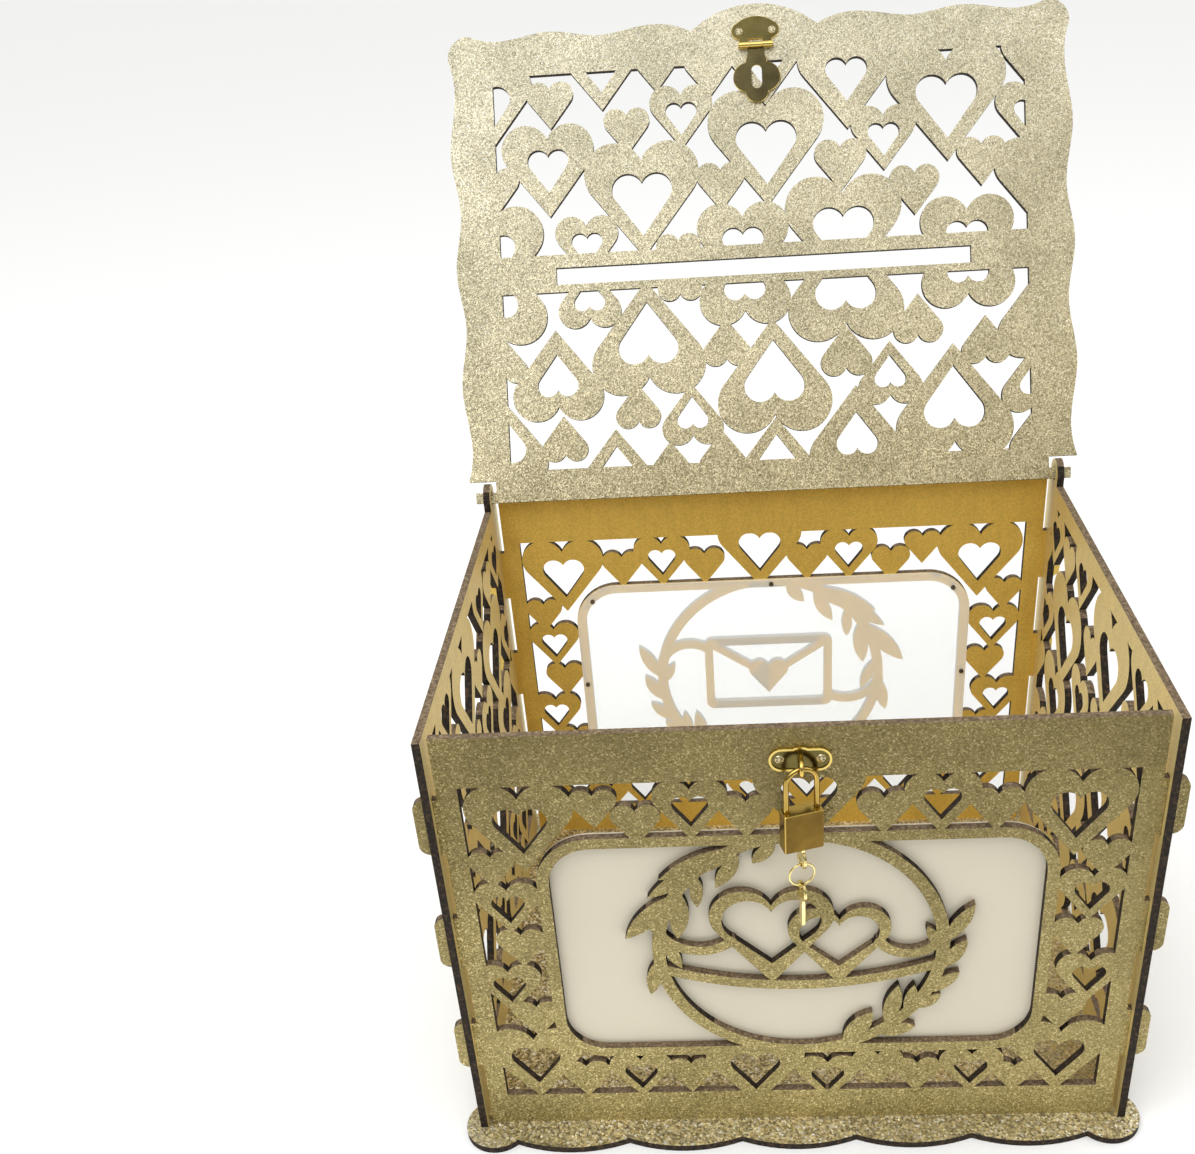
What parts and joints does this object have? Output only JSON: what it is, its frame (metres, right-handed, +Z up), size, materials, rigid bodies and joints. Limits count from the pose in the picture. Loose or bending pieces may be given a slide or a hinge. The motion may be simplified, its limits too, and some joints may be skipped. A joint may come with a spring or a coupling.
{
  "type": "wedding card box",
  "caption": "Lidded wedding card box of pierced heart-lattice boards with frosted windows, a card slot, a hasp and a small padlock with keys.",
  "frame": {"origin": "centre of the base board's underside", "axes": "+X right, +Y to the back, where the lid is hinged, +Z up"},
  "size_m": [0.2756, 0.3018, 0.3871],
  "materials": {
    "wall_board": "3 mm board, fine gold glitter outside, matte gold inside, burnt edges",
    "lid_board": "3 mm board, champagne glitter on both faces, burnt edges",
    "base_board": "3 mm board, coarse bright gold glitter, burnt edges",
    "frosted_sheet": "frosted cream",
    "antique_brass": "satin, slightly dark",
    "lock_brass": "brushed",
    "pale_brass": "bright",
    "steel": "dull"
  },
  "bodies": {
    "box": {"base_plate": "base_board", "front_panel": "wall_board", "back_panel": "wall_board", "left_side_panel": "wall_board", "right_side_panel": "wall_board", "front_window_sheet": "frosted_sheet", "back_window_sheet": "frosted_sheet", "front_window_pins": "steel", "back_window_pins": "steel", "staple_plate": "antique_brass", "staple_loop": "antique_brass", "staple_screws": "antique_brass"},
    "lid": {"lid": "lid_board", "hasp_plate": "antique_brass", "hasp_pin": "antique_brass", "hasp_screws": "antique_brass"},
    "hasp_leaf": {"hasp_leaf": "antique_brass"},
    "shackle": {"shackle": "pale_brass"},
    "padlock": {"padlock_body": "lock_brass", "shackle_stop_pin": "lock_brass", "shackle_spring": "steel", "plug_retaining_pin": "lock_brass"},
    "plug": {"lock_plug": "lock_brass", "wafers": "lock_brass", "locking_cam": "lock_brass"},
    "bolt": {"lock_bolt": "lock_brass"},
    "key": {"key": "pale_brass"},
    "key_ring": {"key_ring": "pale_brass"},
    "spare_key": {"spare_key": "pale_brass"}
  },
  "joints": [
    {"name": "lid_hinge", "type": "hinge", "parent": "box", "child": "lid", "pos_m": [0, 0.0924, 0.198], "axis": [1, 0, 0], "range_deg": [0, 117.3]},
    {"name": "hasp_hinge", "type": "hinge", "parent": "lid", "child": "hasp_leaf", "pos_m": [0.0006, 0.17744, 0.3715], "axis": [-1, 0, 0], "range_deg": [0, 170]},
    {"name": "padlock_swing", "type": "hinge", "parent": "box", "child": "shackle", "pos_m": [0.002, -0.1046, 0.1809], "axis": [-0.9563, -0.2924, 0], "range_deg": [0, 80]},
    {"name": "shackle_release", "type": "slide", "parent": "shackle", "child": "padlock", "axis": [0, 0, -1], "range_m": [0, 0.0072], "deforming": ["shackle_spring"]},
    {"name": "key_turn", "type": "hinge", "parent": "padlock", "child": "plug", "pos_m": [0.002, -0.1046, 0.15], "axis": [0, 0, 1], "range_deg": [0, 90]},
    {"name": "bolt_slide", "type": "slide", "parent": "padlock", "child": "bolt", "axis": [-0.9563, -0.2924, 0], "range_m": [0, 0.0011]},
    {"name": "key_pull", "type": "slide", "parent": "plug", "child": "key", "axis": [0, 0, -1], "range_m": [0, 0.012]},
    {"name": "ring_swing", "type": "hinge", "parent": "key", "child": "key_ring", "pos_m": [0.002, -0.1046, 0.1402], "axis": [-0.9563, -0.2924, 0], "range_deg": [0, 60]},
    {"name": "spare_key_swing", "type": "hinge", "parent": "key_ring", "child": "spare_key", "pos_m": [0.002, -0.1046, 0.1308], "axis": [-0.9563, -0.2924, 0], "range_deg": [0, 60]}
  ],
  "couplings": [
    {"joint": "key_turn", "follows": "shackle_release", "rad_per_m": 218.1},
    {"joint": "bolt_slide", "follows": "shackle_release", "ratio": 0.15277}
  ]
}
